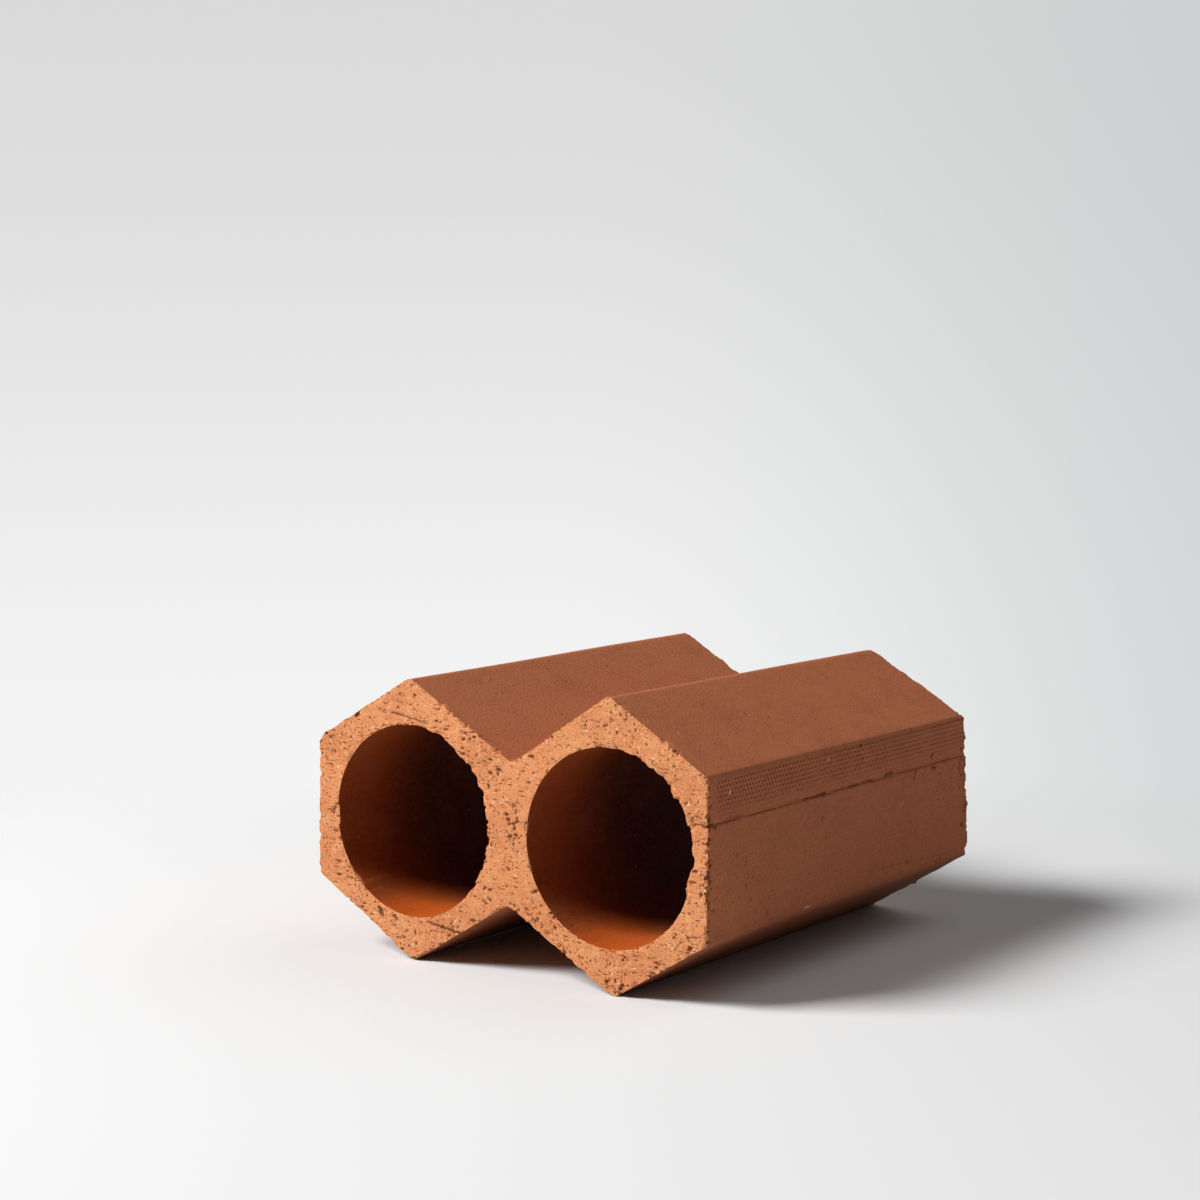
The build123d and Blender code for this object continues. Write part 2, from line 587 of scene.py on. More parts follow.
class Section:
    """One cell's outline, from the notch round the outside to the valley, and back down the web."""

    # Where the corners of this piece lie off the true ones, as fired, in mm: across and up,
    # from the notch over foot, lower, upper and peak to the valley
    warp = {
        (RIGHT, FRONT): [(0.1, 1.4), (2.3, 0), (-3.8, -2.6), (-2.2, 2.2), (0.6, 1.6), (2.6, -0.7)],
        (LEFT, FRONT): [(0.1, 1.4), (-0.3, 0), (-1.1, 3.1), (0.3, 1.2), (0, 0.7), (2.6, -0.7)],
        (RIGHT, BACK): [(0, 0), (1.6, 0), (-0.3, 0.2), (-1.7, 0.6), (0, -1.3), (0.6, -0.5)],
        (LEFT, BACK): [(0, 0), (0.4, 0), (-0.8, 0.5), (0.2, 0.4), (0, -0.6), (0.6, -0.5)],
    }

    # Steps of each rounded corner
    arc_steps = 16

    def __init__(self, sizes, fine):
        # Both are whole fours, because the bores keep only every fourth column far inside
        outer_count = int(OUTER_POINTS * fine) // 4 * 4
        web_count = int(WEB_POINTS * fine) // 4 * 4
        self.outer_count = outer_count
        self.count = outer_count + web_count
        chain, corner_at = self.chain(sizes)
        run = np.concatenate([[0], np.cumsum(np.hypot(*np.diff(chain, axis=0).T))])
        self.outer_length = run[-1]
        self.run = np.linspace(0, self.outer_length, outer_count + 1)
        outer = np.stack([np.interp(self.run, run, part) for part in chain.T], 1)
        web_z = np.linspace(outer[-1, 1], outer[0, 1], web_count + 1)[1:-1]
        self.contour = np.concatenate([outer, np.stack([np.zeros_like(web_z), web_z], 1)])
        tangent = unit(np.gradient(outer, axis=0))
        self.normal = np.zeros_like(self.contour)
        self.normal[: outer_count + 1] = np.stack([tangent[:, 1], -tangent[:, 0]], 1)
        centre = np.array([half_width, cell_centre_z])
        self.wall = np.hypot(*(self.contour - centre).T) - bore_radius
        self.ray = unit(self.contour - centre)
        self.bore = centre + bore_radius * self.ray
        corner = np.interp(self.run, run[corner_at], np.arange(len(corner_at)))
        back_down = np.linspace(len(corner_at) - 1, 0, web_count + 1)[1:-1]
        self.corner = np.concatenate([corner, back_down])
        columns = np.arange(self.count)
        self.on_web = columns > outer_count
        # The nearest column of the outline: on the web it is the valley's, and lower down the notch's
        self.nearest = np.minimum(columns, outer_count)
        self.nearest[columns > outer_count + web_count // 2] = 0

    def chain(self, sizes):
        """Closely spaced points of the rounded outline, and which of them are mid-corner."""
        radius = sizes.corner_radius
        top, side = half_sizes(sizes)
        lower = [(-half_width, -top), (0, -side), (half_width, -top), (2 * half_width, -side)]
        upper = [(x, -z) for x, z in reversed(lower)]
        corners = np.array(lower + upper) + (0, cell_centre_z)
        points = []
        for before, corner, after in zip(corners, corners[1:], corners[2:]):
            back, onward = unit(before - corner), unit(after - corner)
            half_angle = math.acos(back @ onward) / 2
            centre = corner + unit(back + onward) * radius / math.sin(half_angle)
            first = corner + back * radius / math.tan(half_angle) - centre
            last = corner + onward * radius / math.tan(half_angle) - centre
            part = np.linspace(0, 1, self.arc_steps + 1)[:, None]
            points.append(centre + radius * unit(first * (1 - part) + last * part))
        # The outline starts at the middle of the notch's arc and ends at the middle of the valley's
        half_arc = self.arc_steps // 2
        corner_at = np.arange(len(points)) * (self.arc_steps + 1)
        return np.concatenate(points)[half_arc:-half_arc], corner_at

    def offset(self, side, column, share_back):
        """How far the outline lies off the true one, for columns of one side."""
        total = 0
        for end, part in ((FRONT, 1 - share_back), (BACK, share_back)):
            corners = np.array(self.warp[side, end]) * MM
            shift = [np.interp(self.corner[column], np.arange(len(corners)), axis) for axis in corners.T]
            total = total + part[:, None] * np.stack(shift, 1)
        return total


def net(index, flip):
    """Triangles between neighbouring rows and columns of points."""
    a, b, c, d = index[:-1, :-1], index[1:, :-1], index[1:, 1:], index[:-1, 1:]
    first = np.stack([a, b, c], -1).reshape(-1, 3)
    second = np.stack([a, c, d], -1).reshape(-1, 3)
    triangles = np.concatenate([first, second])
    return triangles[:, ::-1] if flip else triangles


def zipper(first, first_at, second, second_at, flip):
    """Triangles between two rows of points that are spaced differently."""
    triangles = []
    i, j = 0, 0
    while i < len(first) - 1 or j < len(second) - 1:
        step_second = j < len(second) - 1 and (i == len(first) - 1 or second_at[j + 1] <= first_at[i + 1])
        if step_second:
            triangles.append((first[i], second[j], second[j + 1]))
            j += 1
        else:
            triangles.append((first[i], second[j], first[i + 1]))
            i += 1
    triangles = np.array(triangles)
    return triangles[:, ::-1] if flip else triangles


def graded(first, widest):
    """Places along the block from front to back, close together at the ends."""
    places = [0.0]
    step = first
    while places[-1] + step < half_length:
        places.append(places[-1] + step)
        step = min(step * STEP_GROWTH, widest)
    half = np.array(places) * half_length / (places[-1] + step / 2)
    return np.concatenate([half - half_length, (half_length - half)[::-1]])


class Lattice:
    """Points all over the skin, the triangles between them, and the face that each triangle is on.

    A point has a side, a column of the section, a ring, from 0 at the bore to 1 outside, and a y.
    """

    def __init__(self, section, fine):
        self.section = section
        self.fine = fine
        self.columns = np.arange(section.count)
        self.parts, self.count = [], 0
        self.triangles, self.faces = [], []
        ends = self.cover_ends()
        self.cover_outside(ends)
        self.cover_bores(ends)

    def table(self):
        """Side, column, ring and y of every point."""
        return np.concatenate(self.parts)

    def point(self, side, column, ring, y):
        """Adds points, and returns their places in the table."""
        side, column, ring, y = np.broadcast_arrays(side, column, ring, y)
        index = self.count + np.arange(side.size).reshape(side.shape)
        self.parts.append(np.stack([part.ravel() for part in (side, column, ring, y)], 1).astype(float))
        self.count += side.size
        return index

    def keep(self, triangles, face):
        self.triangles.append(triangles)
        self.faces.append(np.full(len(triangles), face))

    def cover_ends(self):
        """Rings from the bore to the outside, closer together at both. The cells share the web's line."""
        even = np.linspace(0, 1, int(WALL_RINGS * self.fine) + 1)
        rings = (0.45 * even + 0.55 * (0.5 - 0.5 * np.cos(np.pi * even)))[:, None]
        last = self.section.outer_count
        ends = {}
        for end in (FRONT, BACK):
            y = end * half_length
            right = self.point(RIGHT, self.columns, rings, y)
            inner = self.point(LEFT, self.columns, rings[:-1], y)
            outside = right[-1].copy()
            outside[1:last] = self.point(LEFT, self.columns[1:last], 1.0, y)
            ends[RIGHT, end] = right
            ends[LEFT, end] = np.concatenate([inner, outside[None]])
        for (side, end), rows in ends.items():
            closed = np.concatenate([rows, rows[:, :1]], 1)
            self.keep(net(closed, flip=side * end > 0), FACE_END)
        return ends

    def cover_outside(self, ends):
        """Lines of points along the outside, closer together where it is marked."""
        first_step = FIRST_STEP * MM / self.fine
        coarse = graded(first_step, SIDE_STEP * MM / self.fine)
        close = graded(first_step, MARKED_STEP * MM / self.fine)
        last = self.section.outer_count
        corner = self.section.corner[: last + 1]
        marked = np.interp(MARKED_CORNERS, corner, self.columns[: last + 1]).astype(int)
        lines = {}
        for side in (RIGHT, LEFT):
            for column in range(last + 1):
                if side == LEFT and column in (0, last):
                    lines[side, column] = lines[RIGHT, column]
                    continue
                places = close if side == RIGHT and marked[0] < column < marked[1] else coarse
                middle = self.point(side, column, 1.0, places[1:-1])
                front, back = (ends[side, end][-1, column] for end in (FRONT, BACK))
                lines[side, column] = (np.concatenate([[front], middle, [back]]), places)
        for side in (RIGHT, LEFT):
            for column in range(last):
                near, near_at = lines[side, column]
                far, far_at = lines[side, column + 1]
                if len(near) == len(far):
                    self.keep(net(np.stack([near, far]), side == RIGHT), FACE_SIDE)
                else:
                    self.keep(zipper(near, near_at, far, far_at, side == RIGHT), FACE_SIDE)

    def cover_bores(self, ends):
        """Rows of points round the bores, with fewer points further in."""
        places = graded(FIRST_STEP * MM / self.fine, BORE_STEP * MM)
        for side in (RIGHT, LEFT):
            rows = []
            for place in places:
                depth = half_length - abs(place)
                every = 1 if depth < 5 * MM else 2 if depth < 12 * MM else 4
                chosen = self.columns[::every]
                if place in (places[0], places[-1]):
                    row = ends[side, np.sign(place)][0]
                else:
                    row = self.point(side, chosen, 0.0, place)
                rows.append((np.append(row, row[0]), np.append(chosen, self.section.count)))
            for (near, near_at), (far, far_at) in zip(rows, rows[1:]):
                self.keep(zipper(near, near_at, far, far_at, side == RIGHT), FACE_BORE)


class Skin:
    """The skin of the block, laid on its section and then marked step by step."""

    def __init__(self, sizes, fine):
        section = Section(sizes, fine)
        lattice = Lattice(section, fine)
        self.sizes = sizes
        self.triangles = np.concatenate(lattice.triangles)
        self.faces = np.concatenate(lattice.faces)
        self.side, column, ring, self.y = lattice.table().T
        self.end = np.where(self.y < 0, FRONT, BACK)
        self.clouds = [Clouds(seed) for seed in range(6)]
        self.lay(section, column.astype(int), ring)
        self.cut_ends()
        self.bulge_rims()
        self.bite_edges()
        self.raise_burrs()
        self.mark_outside()
        self.streak_bores()
        self.lift_foot()

    def lay(self, section, column, ring):
        """Places the points on the block, and measures how they lie to its edges."""
        mirror = np.stack([self.side, np.ones(len(column))], 1)
        self.ray = section.ray[column] * mirror
        self.normal = section.normal[column] * mirror
        share_back = (self.y + half_length) / block_length
        right, left = (section.offset(side, column, share_back) for side in (RIGHT, LEFT))
        contour = section.contour[column] * mirror + np.where((self.side == RIGHT)[:, None], right, left)
        bore = section.bore[column] * mirror
        across, up = (bore + (contour - bore) * ring[:, None]).T
        self.place = np.stack([across, self.y, up], 1)

        self.from_end = half_length - np.abs(self.y)
        nearest = section.nearest[column]
        edge_x, edge_z = (section.contour[nearest] * mirror).T
        from_web_end = np.hypot(across - edge_x, up - edge_z)
        wall = section.wall[column]
        self.from_outline = np.where(section.on_web[column], from_web_end, (1 - ring) * wall)
        self.from_bore = ring * wall
        self.turn = np.arctan2(self.ray[:, 1], self.ray[:, 0])
        run, loop = section.run[nearest], 2 * section.outer_length
        outline_run = np.where(self.side == RIGHT, run, loop - run)
        bore_run = (self.turn % (2 * math.pi)) * bore_radius
        # Each kind of edge: the distance from it, the place along it, its length, and the way out of it
        self.edges = (
            (self.from_outline, outline_run, loop, self.normal),
            (self.from_bore, bore_run, 2 * math.pi * bore_radius, -self.ray),
        )

    def waves(self, table):
        """The noises of a table of waves at each point, added up."""
        return sum(height * self.clouds[which].at(self.place, lumps) for which, lumps, height in table)

    def push(self, way, distance):
        """Moves each point that far across the block, along its way."""
        self.place[:, ::2] += way * distance[:, None]

    def cut_ends(self):
        """Roughens the ends as the wire did, and takes out what it tore away."""
        height = self.sizes.end_roughness * self.waves(END_WAVES)
        across, up = self.place[:, 0], self.place[:, 2]
        front = end_marks(self.sizes, 11, FRONT_TEARS, FRONT_CRUMBS)
        back = end_marks(self.sizes, 12, tears=(), crumbs=())
        self.gone = np.where(self.end == FRONT, front.at(across, up), back.at(across, up))
        self.near_end = fade(self.from_end, FACE_REACH)
        self.place[:, 1] += self.end * (height - self.gone) * self.near_end

    def bulge_rims(self):
        """Bulges of the front rims that the core left as it was drawn out."""
        near_rim = fade(self.from_bore + self.from_end, RIM_REACH) * (self.end == FRONT)
        for at_side, middle, half, rise in RIM_BULGES:
            off = np.abs((np.degrees(self.turn) - middle + 180) % 360 - 180)
            bulge = smooth(off, half, 0.5 * half) * near_rim * (self.side == at_side)
            self.push(-self.ray, rise * MM * bulge)

    def bite_edges(self):
        """Bites the edges of the ends, across on the face and lengthwise on the wall."""
        self.bitten = np.zeros(len(self.place))
        for which, (distance, along, size, outward) in enumerate(self.edges):
            across = self.from_end - distance
            lean = math.pi / 4 * (1 - np.clip(across / (BITE_TURN * MM), -1, 1))
            for at_end in (FRONT, BACK):
                for at_side in (RIGHT, LEFT):
                    power = edge_strength(at_end, at_side, on_bore=which == 1)
                    # Each bore has an edge of its own, and the outline's edge goes round both cells
                    seed = 20 + 10 * which + 3 * at_end + (at_side if which else 0)
                    marks = edge_marks(self.sizes, size, seed, power)
                    chosen = (self.end == at_end) & (self.side == at_side)
                    chosen &= distance + self.from_end < self.sizes.edge_reach
                    depth = np.zeros(len(self.place))
                    depth[chosen] = marks.at(along[chosen], across[chosen])
                    self.push(-outward, np.cos(lean) * depth)
                    self.place[:, 1] -= at_end * np.sin(lean) * depth
                    self.bitten = np.maximum(self.bitten, depth)

    def raise_burrs(self):
        """Burrs that stand on the edge of the back end."""
        near_edge = fade(self.from_outline + self.from_end, FACE_REACH) * (self.end == BACK)
        for x, z, half, burr in BACK_BURRS:
            off = np.hypot(self.place[:, 0] - x * MM, self.place[:, 2] - z * MM)
            self.push(self.normal, burr * MM * smooth(off, half * MM, 0) * near_edge)

    def mark_outside(self):
        """Slow waves, lengthwise streaks of the die, a ragged lip at the back and the belt's marks."""
        lip = fade(self.from_end, LIP_REACH) * (self.end == BACK)
        rise = MM * (self.waves(SIDE_WAVES) + lip * self.waves(LIP_WAVES))
        self.push(self.normal, (rise - self.belt_marks()) * fade(self.from_outline, FACE_REACH))

    def belt_marks(self):
        """What the belt and the die took off the right-hand side. Keeps how dark their marks are."""
        sizes, z = self.sizes, self.place[:, 2]
        up = z - belt_line_z(sizes)
        upright = smooth(self.normal[:, 0], 0.55, 0.98) * (self.side == RIGHT)
        band = upright * smooth(up, -0.1 * MM, 0.3 * MM)
        rough = 0.5 + 0.5 * self.waves(ALONG_WAVES)
        half_line = sizes.line_width / 2 * (0.55 + 0.6 * rough)
        line = np.clip(1 - np.abs(up + MM * self.waves(LINE_WAVES)) / half_line, 0, 1) * upright
        torn = side_marks(sizes).at(self.y, z) * upright
        self.lined = np.maximum(smooth(line, 0.1, 0.8), smooth(torn, 0.05 * MM, 0.4 * MM))
        pressed = (sizes.belt_sink + sizes.weave_depth * weave_marks(sizes, self.y, z)) * band
        return np.maximum(pressed, line * sizes.line_depth * (0.6 + 0.5 * rough)) + torn

    def streak_bores(self):
        """Lengthwise streaks of the die's cores."""
        self.push(-self.ray, MM * self.waves(BORE_WAVES) * fade(self.from_bore, FACE_REACH))

    def lift_foot(self):
        """Lifts the left foot unevenly, and sets the block down on its lowest point."""
        first, last = (part * MM for part in FOOT_GAP)
        ramp = 6 * MM
        worn = smooth(self.y, first - ramp, first) * smooth(self.y, last + ramp, last)
        uneven = 1 + 0.8 * self.waves(ALONG_WAVES)
        foot = fade(self.place[:, 2], FOOT_REACH) * (self.side == LEFT)
        self.place[:, 2] += foot * self.sizes.foot_gap * (0.2 + 0.8 * worn) * uneven
        self.place[:, 2] -= self.place[:, 2].min()

    def masks(self):
        """How pitted, torn open and pale the skin is at each point, from 0 to 1."""
        pit = np.clip(self.gone / (0.4 * MM), 0, 1) * self.near_end
        pit = np.maximum(pit, self.lined * fade(self.from_outline, 0.8))
        torn = smooth(self.bitten, 0.1 * MM, 0.3 * MM) * (self.from_end > 0)
        pale = np.zeros(len(self.place))
        for y, z, half_y, half_z in SIDE_GRAINS:
            off = np.hypot((self.place[:, 1] / MM - y) / half_y, (self.place[:, 2] / MM - z) / half_z)
            pale = np.maximum(pale, smooth(off, 1.1, 0.5) * (self.normal[:, 0] > 0.3))
        return {"pit": pit, "torn": torn, "pale": pale}


def weave_marks(sizes, y, z):
    """The belt's weave: slanted dots in staggered rows, which run into lines towards the back."""
    row = (z - belt_line_z(sizes) - sizes.weave_start) / sizes.weave_up
    along = y / sizes.weave_along + 0.5 * row
    from_row = row - np.round(row)
    dots = smooth(np.hypot(DOT_SLIMNESS * (along - np.round(along)), from_row), *DOT_RIM)
    lines = 0.55 * smooth(np.abs(from_row), *LINE_RIM)
    first, last = WEAVE_TO_LINES
    to_lines = np.clip((y / MM - first) / (last - first), 0, 1)
    front, full = (-half_length + part * MM for part in WEAVE_FROM_END)
    presence = smooth(row, *WEAVE_FROM_LINE) * smooth(y, front, full)
    return presence * (dots * (1 - to_lines) + lines * to_lines)


# Mesh and materials


def new_object(name, data):
    item = bpy.data.objects.new(name, data)
    bpy.context.scene.collection.objects.link(item)
    return item


def mesh_object(name, skin, materials):
    """A mesh object from the skin's arrays, with its masks as attributes of the points."""
    mesh = bpy.data.meshes.new(name)
    mesh.vertices.add(len(skin.place))
    mesh.vertices.foreach_set("co", skin.place.astype(np.float32).ravel())
    mesh.loops.add(skin.triangles.size)
    mesh.loops.foreach_set("vertex_index", skin.triangles.astype(np.int32).ravel())
    mesh.polygons.add(len(skin.triangles))
    mesh.polygons.foreach_set("loop_start", np.arange(len(skin.triangles), dtype=np.int32) * 3)
    mesh.update(calc_edges=True)
    for material in materials:
        mesh.materials.append(material)
    mesh.polygons.foreach_set("material_index", skin.faces.astype(np.int32))
    for mask, values in skin.masks().items():
        layer = mesh.attributes.new(mask, "FLOAT", "POINT")
        layer.data.foreach_set("value", values.astype(np.float32))
    return new_object(name, mesh)


def thin_out(item, triangles):
    """Collapses edges until the mesh has that many triangles, and keeps the result."""
    reduce = item.modifiers.new("thin out", "DECIMATE")
    reduce.ratio = min(1.0, triangles / len(item.data.polygons))
    graph = bpy.context.evaluated_depsgraph_get()
    dense = item.data
    item.data = bpy.data.meshes.new_from_object(item.evaluated_get(graph), depsgraph=graph)
    item.modifiers.clear()
    bpy.data.meshes.remove(dense)
    item.data.name = item.name
    item.data.validate()
    item.data.shade_smooth()
    item.data.set_sharp_from_angle(angle=math.radians(SHARP_EDGE))


def add(tree, kind, inputs=(), **settings):
    """Adds a shader node with its settings.

    Its inputs are given in order or by name. Each is a value, a colour as red, green and blue, a
    socket, or a node, whose first output is taken.
    """
    node = tree.nodes.new("ShaderNode" + kind)
    for name, value in settings.items():
        setattr(node, name, value)
    pairs = inputs.items() if isinstance(inputs, dict) else enumerate(inputs)
    for name, value in pairs:
        socket = node.inputs[name]
        if isinstance(value, bpy.types.Node):
            value = value.outputs[0]
        if isinstance(value, bpy.types.NodeSocket):
            tree.links.new(value, socket)
        else:
            socket.default_value = (*value, 1) if socket.type == "RGBA" else value
    return node


def on_clay(tree, stretch=(1, 1, 1), turn=(0, 0, 0)):
    """Places on the block in millimetres, turned and then drawn out along each axis."""
    place = add(tree, "TexCoord").outputs["Object"]
    turned = add(tree, "Mapping", {"Vector": place, "Rotation": turn})
    return add(tree, "VectorMath", (turned, [MM * part for part in stretch]), operation="DIVIDE")


def ragged(tree, place, stray, lump=0.7):
    """The same places, strayed a little, so that what is drawn there gets a broken rim."""
    noise = add(tree, "TexNoise", {"Vector": place, "Scale": 1 / lump, "Detail": 1.0})
    middle = add(tree, "VectorMath", (noise.outputs["Color"], (0.5,) * 3), operation="SUBTRACT")
    return add(tree, "VectorMath", (middle, (stray,) * 3, place), operation="MULTIPLY_ADD")


def clouds(tree, place, lump, start, end):
    """Clouds with lumps of that many millimetres, from 0 at the noise's start to 1 at its end."""
    noise = add(tree, "TexNoise", {"Vector": place, "Scale": 1 / lump, "Detail": 3.0, "Roughness": 0.6})
    return add(tree, "MapRange", (noise, start, end), interpolation_type="SMOOTHSTEP")


def grains(tree, place, spacing, radius, kept, dimensions="2D"):
    """Grains or pores up to that radius in millimetres, in a share of cells of that spacing."""
    cells = add(tree, "TexVoronoi", {"Vector": place, "Scale": 1 / spacing}, voronoi_dimensions=dimensions)
    pick = add(tree, "SeparateColor", (cells.outputs["Color"],))
    widest = radius / spacing
    reach = add(tree, "Math", (pick, -widest / kept, widest), operation="MULTIPLY_ADD")
    inside = add(tree, "Math", (reach, cells), operation="SUBTRACT")
    return add(tree, "MapRange", (inside, 0, 0.35 * widest))


def coated(tree, base, coats):
    """Lays colours over the base in turn, each as far as its mask and its strength let it show."""
    for mask, strength, coat in coats:
        shown = add(tree, "Math", (mask, strength), operation="MULTIPLY")
        # Sockets 6 and 7 of this node, and its output 2, are for colours
        base = add(tree, "Mix", {0: shown, 6: base, 7: coat}, data_type="RGBA").outputs[2]
    return base


def new_material(name):
    material = bpy.data.materials.new(name)
    material.use_nodes = True
    material.node_tree.nodes.clear()
    return material, material.node_tree


def fired_surface(tree, base, relief, depth, roughness):
    """Unglazed fired clay with the colour given, and a relief of that depth in millimetres."""
    bump = add(tree, "Bump", {"Height": relief, "Distance": depth * MM})
    look = {
        "Base Color": base,
        "Normal": bump,
        "Roughness": roughness,
        "IOR": 1.5,
        # Open pores keep the gloss of bare terracotta well under that of a glaze
        "Specular IOR Level": 0.15,
    }
    add(tree, "OutputMaterial", {"Surface": add(tree, "BsdfPrincipled", look)})


def torn_clay(tree, colours, sizes):
    """Colour and relief of clay that the wire tore open: sandy, with pores, tears and pale grains."""
    wire = (math.pi / 2, 0, sizes.wire_slope)
    place = on_clay(tree, turn=wire)
    broken = ragged(tree, place, 0.7)
    drawn = ragged(tree, on_clay(tree, (4.5, 1, 1), wire), 0.35)
    streaked = ragged(tree, on_clay(tree, (2.2, 1, 1), wire), 0.6)
    # Sand of 0.1 to 0.2 mm is too fine to show, so it is drawn in lumps of about half a millimetre
    sand = clouds(tree, place, 0.55, 0.3, 0.7)
    crumbs = grains(tree, broken, 1.1, 0.5, 0.5)
    pores = grains(tree, broken, 1.9, 0.62, 0.42)
    gathered = clouds(tree, place, 8, 0.4, 0.56)
    # Pores, pits, tears and streaks of torn grains take the pit colour, as painted shade in their hollows
    dark = add(tree, "Math", (pores, gathered), operation="MULTIPLY")
    pit = add(tree, "Attribute", attribute_name="pit").outputs["Fac"]
    for other in (grains(tree, drawn, 1.5, 0.34, 0.4), pit):
        dark = add(tree, "Math", (dark, other), operation="MAXIMUM")
    coats = (
        (clouds(tree, place, 24, 0.42, 0.62), 0.7, colours.cut_deep),
        (clouds(tree, place, 6, 0.48, 0.66), 0.7, colours.cut_warm),
        (clouds(tree, place, 2.2, 0.5, 0.7), 0.6, colours.cut_deep),
        (sand, 0.75, colours.cut_deep),
        (grains(tree, broken, 0.9, 0.42, 0.3), 0.5, colours.grog),
        (grains(tree, broken, 3.6, 0.75, 0.2), 0.85, colours.grog),
        (grains(tree, broken, 9, 1.1, 0.12), 0.6, colours.slate),
        (grains(tree, streaked, 1.0, 0.42, 0.4), 0.45, colours.pit),
        (dark, 0.7, colours.pit),
    )
    raised = add(tree, "Math", (sand, crumbs), operation="ADD")
    relief = add(tree, "Math", (dark, -1.6, raised), operation="MULTIPLY_ADD")
    return coated(tree, colours.cut, coats), relief


def wire_cut_terracotta(colours, sizes):
    """Fired terracotta cut by a wire: a matt, sandy, open body with pores and grains of grog."""
    material, tree = new_material("wire_cut_terracotta")
    base, relief = torn_clay(tree, colours, sizes)
    fired_surface(tree, base, relief, 0.16, 0.92)
    return material


def closed_skin(tree, colours, skin, clouding):
    """Colour and relief of clay that slid along a die: closed, faintly streaked, with few pores."""
    place = on_clay(tree)
    broken = ragged(tree, on_clay(tree, (1, 1, 1.8)), 0.5)
    drawn = on_clay(tree, (1, 12, 1))
    mottle = clouds(tree, on_clay(tree, (1, 1, 1.7)), 0.9, 0.35, 0.68)
    flecks = grains(tree, broken, 4.2, 0.6, 0.5, "3D")
    coats = (
        (clouds(tree, place, 34, 0.45, 0.65), 0.45 * clouding, colours.skin_red),
        (clouds(tree, place, 19, 0.5, 0.7), 0.45 * clouding, colours.skin_brown),
        (clouds(tree, drawn, 1.1, 0.5, 0.75), 0.35 * clouding, colours.skin_brown),
        (mottle, 0.32 * clouding, colours.cut_deep),
        (grains(tree, place, 5.5, 0.4, 0.3, "3D"), 0.55, colours.grog),
        # Small pores and flecks take the pit colour, as painted shade in their hollows
        (grains(tree, broken, 1.7, 0.5, 0.5, "3D"), 0.55, colours.pit),
        (flecks, 0.75, colours.pit),
    )
    relief = add(tree, "Math", (flecks, -2.5, mottle), operation="MULTIPLY_ADD")
    return coated(tree, skin, coats), relief


def belt_weave(tree, sizes):
    """The belt's weave as a mask, in the same rows as on the mesh."""
    place = add(tree, "TexCoord").outputs["Object"]
    axes = add(tree, "SeparateXYZ", (place,))
    first_row = (0, 0, belt_line_z(sizes) + sizes.weave_start)
    above = add(tree, "VectorMath", (place, first_row), operation="SUBTRACT")
    upward = (0, 0, 1 / sizes.weave_up)
    slanted = (0, 1 / sizes.weave_along, 0.5 / sizes.weave_up)
    row = add(tree, "VectorMath", (above, upward), operation="DOT_PRODUCT").outputs["Value"]
    along = add(tree, "VectorMath", (above, slanted), operation="DOT_PRODUCT").outputs["Value"]
    from_row = add(tree, "Math", (row, 0.5), operation="PINGPONG")
    from_dot = add(tree, "Math", (along, 0.5), operation="PINGPONG")
    slim = add(tree, "Math", (from_dot, DOT_SLIMNESS), operation="MULTIPLY")
    lattice = add(tree, "CombineXYZ", (slim, from_row))
    from_centre = add(tree, "VectorMath", (lattice,), operation="LENGTH").outputs["Value"]

    # The mask is lower in the first rows, above the corner, at the front, off the side and where worn
    top = (sizes.belt_drop - sizes.weave_start) / sizes.weave_up
    front, full = (-half_length + part * MM for part in WEAVE_FROM_END)
    mask = 1.0
    for value, start, end, least in (
        (row, *WEAVE_FROM_LINE, 0.15),
        (row, top + 0.6, top + 0.2, 0),
        (axes.outputs["Y"], front, full, 0),
        (axes.outputs["X"], high.x - 8 * MM, high.x - 6 * MM, 0),
        (clouds(tree, on_clay(tree), 8, 0.35, 0.55), 0, 1, 0.6),
    ):
        part = add(tree, "MapRange", (value, start, end, least), interpolation_type="SMOOTHSTEP")
        mask = add(tree, "Math", (part, mask), operation="MULTIPLY")

    # Dots at the front, which give way to lines towards the back
    first, last = (part * MM for part in WEAVE_TO_LINES)
    woven = 0.0
    for distance, start, end, at_first, at_last in (
        (from_centre, *DOT_RIM, 1, 0),
        (from_row, *LINE_RIM, 0, 0.45),
    ):
        pressed = add(tree, "MapRange", (distance, start, end), interpolation_type="SMOOTHSTEP")
        shown = add(tree, "MapRange", (axes.outputs["Y"], first, last, at_first, at_last))
        woven = add(tree, "Math", (pressed, shown, woven), operation="MULTIPLY_ADD")
    return add(tree, "Math", (woven, mask), operation="MULTIPLY")


def die_skin_terracotta(colours, sizes):
    """Fired terracotta that a steel die smoothed: a closed, barely glossy skin, browner than inside."""
    material, tree = new_material("die_skin_terracotta")
    skin, relief = closed_skin(tree, colours, colours.skin, 1.0)
    up = add(tree, "SeparateXYZ", (add(tree, "TexCoord").outputs["Object"],)).outputs["Z"]
    # Between these heights the skin darkens towards the lower ridges, as painted shade of the underside
    light, dark = 34 * MM, 18 * MM
    under = add(tree, "MapRange", (up, light, dark), interpolation_type="SMOOTHSTEP")
    weave = belt_weave(tree, sizes)
    torn, _ = torn_clay(tree, colours, sizes)
    # The weave's dots, and the pits, tears and dragged line of the pit mask, take the pit colour as painted
    # shade in their hollows
    coats = (
        (under, 0.65, colours.painted_underside_shade),
        (weave, 0.85, colours.pit),
        (add(tree, "Attribute", attribute_name="pale").outputs["Fac"], 0.7, colours.grog),
        (add(tree, "Attribute", attribute_name="torn").outputs["Fac"], 1.0, torn),
        (add(tree, "Attribute", attribute_name="pit").outputs["Fac"], 0.65, colours.pit),
    )
    relief = add(tree, "Math", (weave, -2.0, relief), operation="MULTIPLY_ADD")
    fired_surface(tree, coated(tree, skin, coats), relief, 0.09, 0.7)
    return material


